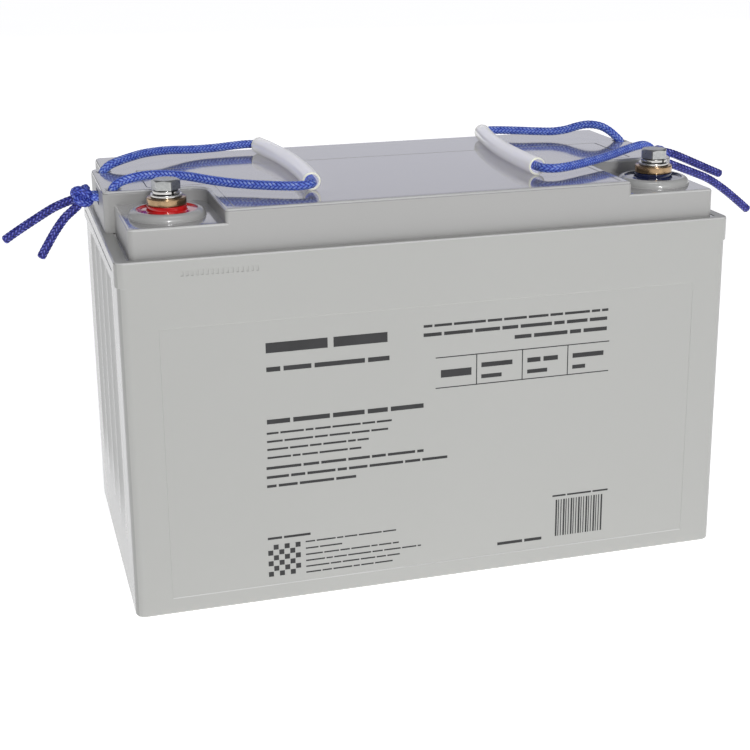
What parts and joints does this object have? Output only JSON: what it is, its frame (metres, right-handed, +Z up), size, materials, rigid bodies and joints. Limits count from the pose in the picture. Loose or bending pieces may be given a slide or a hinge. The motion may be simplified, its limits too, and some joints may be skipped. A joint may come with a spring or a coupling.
{
  "type": "deep cycle battery",
  "caption": "Sealed lead acid deep cycle battery with a fluted container, recessed bolt terminals, a vent cover, and two rope carrying handles with plastic grips.",
  "frame": {"origin": "centre of the container's base, on the surface that it stands on", "axes": "+X along the battery towards the dark blue negative terminal, +Y towards its back, away from the terminals, +Z up"},
  "size_m": [0.451, 0.173, 0.2239],
  "materials": {
    "container_plastic": "light warm grey moulded plastic with a soft gloss",
    "lid_plastic": "light grey glossy moulded plastic",
    "vent_cover_plastic": "light grey glossy moulded plastic",
    "valve_rubber": "black rubber",
    "seal_rubber": "black rubber",
    "positive_plate": "dark brown pasted plate",
    "negative_plate": "grey pasted plate",
    "glass_mat": "white absorbent glass fibre mat",
    "lead_strap": "cast lead",
    "terminal_brass": "brass with a brown patina",
    "red_resin": "glossy red sealing resin",
    "dark_blue_resin": "glossy blue-black sealing resin",
    "washer_steel": "bright plated steel",
    "bolt_steel": "zinc plated steel",
    "clear_tube": "milky translucent soft plastic tube",
    "blue_rope": "braided royal blue rope"
  },
  "bodies": {
    "battery": {"container": "container_plastic", "lid": "lid_plastic", "vent_cover": "vent_cover_plastic", "positive_plates_1": "positive_plate", "positive_plates_2": "positive_plate", "positive_plates_3": "positive_plate", "positive_plates_4": "positive_plate", "positive_plates_5": "positive_plate", "positive_plates_6": "positive_plate", "negative_plates_1": "negative_plate", "negative_plates_2": "negative_plate", "negative_plates_3": "negative_plate", "negative_plates_4": "negative_plate", "negative_plates_5": "negative_plate", "negative_plates_6": "negative_plate", "separators_1": "glass_mat", "separators_2": "glass_mat", "separators_3": "glass_mat", "separators_4": "glass_mat", "separators_5": "glass_mat", "separators_6": "glass_mat", "intercell_strap_1": "lead_strap", "intercell_strap_2": "lead_strap", "intercell_strap_3": "lead_strap", "intercell_strap_4": "lead_strap", "intercell_strap_5": "lead_strap", "positive_end_strap": "lead_strap", "positive_terminal": "terminal_brass", "positive_terminal_seal": "seal_rubber", "positive_resin_ring": "red_resin", "negative_end_strap": "lead_strap", "negative_terminal": "terminal_brass", "negative_terminal_seal": "seal_rubber", "negative_resin_ring": "dark_blue_resin", "left_rope_leg_front": "blue_rope", "left_rope_leg_back": "blue_rope", "left_knot": "blue_rope", "left_tail_upper": "blue_rope", "left_tail_lower": "blue_rope", "right_rope_leg_front": "blue_rope", "right_rope_leg_back": "blue_rope", "right_knot": "blue_rope", "right_tail_upper": "blue_rope", "right_tail_lower": "blue_rope"},
    "left_handle": {"left_grip_tube": "clear_tube", "left_rope_loop": "blue_rope"},
    "right_handle": {"right_grip_tube": "clear_tube", "right_rope_loop": "blue_rope"},
    "positive_washers": {"positive_flat_washer": "washer_steel", "positive_spring_washer": "washer_steel"},
    "positive_bolt_body": {"positive_bolt": "bolt_steel"},
    "negative_washers": {"negative_flat_washer": "washer_steel", "negative_spring_washer": "washer_steel"},
    "negative_bolt_body": {"negative_bolt": "bolt_steel"},
    "valve_1": {"vent_valve_1": "valve_rubber"},
    "valve_2": {"vent_valve_2": "valve_rubber"},
    "valve_3": {"vent_valve_3": "valve_rubber"},
    "valve_4": {"vent_valve_4": "valve_rubber"},
    "valve_5": {"vent_valve_5": "valve_rubber"},
    "valve_6": {"vent_valve_6": "valve_rubber"}
  },
  "joints": [
    {"name": "left_handle_lift", "type": "hinge", "parent": "battery", "child": "left_handle", "pos_m": [-0.1565, 0.011, 0.212], "axis": [0, -1, 0], "range_deg": [0, 90]},
    {"name": "right_handle_lift", "type": "hinge", "parent": "battery", "child": "right_handle", "pos_m": [0.1565, 0.011, 0.212], "axis": [0, 1, 0], "range_deg": [0, 90]},
    {"name": "positive_bolt_lift", "type": "slide", "parent": "battery", "child": "positive_washers", "axis": [0, 0, 1], "range_m": [0, 0.0125]},
    {"name": "positive_bolt_turn", "type": "hinge", "parent": "positive_washers", "child": "positive_bolt_body", "pos_m": [-0.134, -0.055, 0.215], "axis": [0, 0, 1], "range_deg": [0, 3600]},
    {"name": "negative_bolt_lift", "type": "slide", "parent": "battery", "child": "negative_washers", "axis": [0, 0, 1], "range_m": [0, 0.0125]},
    {"name": "negative_bolt_turn", "type": "hinge", "parent": "negative_washers", "child": "negative_bolt_body", "pos_m": [0.134, -0.055, 0.215], "axis": [0, 0, 1], "range_deg": [0, 3600]},
    {"name": "valve_1_lift", "type": "slide", "parent": "battery", "child": "valve_1", "axis": [0, 0, 1], "range_m": [0, 0.0008], "stiffness_N_per_m": 400, "springref_m": -0.001},
    {"name": "valve_2_lift", "type": "slide", "parent": "battery", "child": "valve_2", "axis": [0, 0, 1], "range_m": [0, 0.0008], "stiffness_N_per_m": 400, "springref_m": -0.001},
    {"name": "valve_3_lift", "type": "slide", "parent": "battery", "child": "valve_3", "axis": [0, 0, 1], "range_m": [0, 0.0008], "stiffness_N_per_m": 400, "springref_m": -0.001},
    {"name": "valve_4_lift", "type": "slide", "parent": "battery", "child": "valve_4", "axis": [0, 0, 1], "range_m": [0, 0.0008], "stiffness_N_per_m": 400, "springref_m": -0.001},
    {"name": "valve_5_lift", "type": "slide", "parent": "battery", "child": "valve_5", "axis": [0, 0, 1], "range_m": [0, 0.0008], "stiffness_N_per_m": 400, "springref_m": -0.001},
    {"name": "valve_6_lift", "type": "slide", "parent": "battery", "child": "valve_6", "axis": [0, 0, 1], "range_m": [0, 0.0008], "stiffness_N_per_m": 400, "springref_m": -0.001}
  ],
  "couplings": [
    {"joint": "positive_bolt_turn", "follows": "positive_bolt_lift", "rad_per_m": 5026.5},
    {"joint": "negative_bolt_turn", "follows": "negative_bolt_lift", "rad_per_m": 5026.5}
  ]
}
